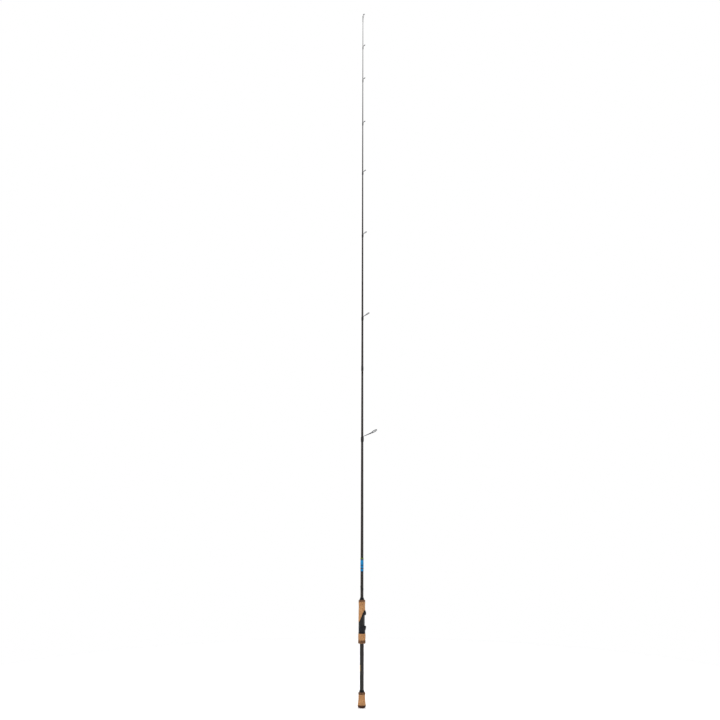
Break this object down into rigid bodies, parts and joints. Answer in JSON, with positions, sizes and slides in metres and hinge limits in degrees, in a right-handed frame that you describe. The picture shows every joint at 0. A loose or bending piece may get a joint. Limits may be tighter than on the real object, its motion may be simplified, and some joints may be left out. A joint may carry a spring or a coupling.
{
  "type": "spinning rod",
  "caption": "Two-piece spinning rod with a split cork handle, an up-locking reel seat with a slanted foregrip, and ceramic-ringed line guides on a slim tapered blank.",
  "frame": {"origin": "centre of the butt cap's flat end face, on the rod's axis", "axes": "+Z along the rod from the butt to the tip, +X towards the line guides and the reel foot bed, +Y completes the right-handed set"},
  "size_m": [0.0627, 0.0256, 2.1339],
  "materials": {
    "blank": "clear-coated carbon fibre",
    "sleeve": "clear-coated carbon fibre",
    "cork": "sanded natural cork",
    "burl": "sanded composite cork",
    "cap": "matte rubberised cork",
    "check": "black anodised",
    "seat": "satin moulded nylon",
    "hood": "blue-black anodised",
    "cushion": "matte",
    "insert": "satin",
    "gold": "satin gold",
    "blue": "thread under clear epoxy",
    "navy": "thread under clear epoxy",
    "green": "thread under clear epoxy",
    "thread": "black thread under clear epoxy",
    "steel": "polished stainless steel",
    "ring": "polished black ceramic"
  },
  "bodies": {
    "butt_section": {"butt_blank": "blank", "butt_cap": "cap", "butt_grip_cork": "cork", "butt_grip_ring": "burl", "butt_grip_check": "check", "split_grip_sleeve": "sleeve", "gold_trim_band": "gold", "reel_seat_body": "seat", "front_hood": "hood", "front_hood_liner": "cushion", "foregrip_cork": "cork", "foregrip_ring": "burl", "foregrip_check": "check", "hook_keeper": "steel", "hook_keeper_wrap": "thread", "blue_wrap": "blue", "navy_wrap": "navy", "green_wrap": "green", "guide_1_frame": "steel", "guide_1_ring": "ring", "guide_1_wrap": "thread"},
    "moving_hood": {"moving_hood": "hood", "moving_hood_liner": "cushion"},
    "lock_nut": {"lock_nut_core": "insert", "lock_nut_rear_ring": "burl", "lock_nut_cork": "cork", "lock_nut_front_ring": "check"},
    "tip_section": {"tip_blank": "blank", "ferrule_wrap": "thread", "guide_2_frame": "steel", "guide_2_ring": "ring", "guide_2_wrap": "thread", "guide_3_frame": "steel", "guide_3_ring": "ring", "guide_3_wrap": "thread", "guide_4_frame": "steel", "guide_4_ring": "ring", "guide_4_wrap": "thread", "guide_5_frame": "steel", "guide_5_ring": "ring", "guide_5_wrap": "thread", "guide_6_frame": "steel", "guide_6_ring": "ring", "guide_6_wrap": "thread", "guide_7_frame": "steel", "guide_7_ring": "ring", "guide_7_wrap": "thread", "tip_top_frame": "steel", "tip_top_ring": "ring", "tip_top_wrap": "thread"}
  },
  "joints": [
    {"name": "hood_slide", "type": "slide", "parent": "butt_section", "child": "moving_hood", "axis": [0, 0, 1], "range_m": [-0.018, 0]},
    {"name": "nut_turn", "type": "hinge", "parent": "moving_hood", "child": "lock_nut", "pos_m": [0, 0, 0.2155], "axis": [0, 0, 1], "range_deg": [-3240, 0]},
    {"name": "tip_pull", "type": "slide", "parent": "butt_section", "child": "tip_section", "axis": [0, 0, 1], "range_m": [0, 0.075]}
  ],
  "couplings": [
    {"joint": "hood_slide", "follows": "nut_turn", "m_per_rad": 0.00031831}
  ]
}
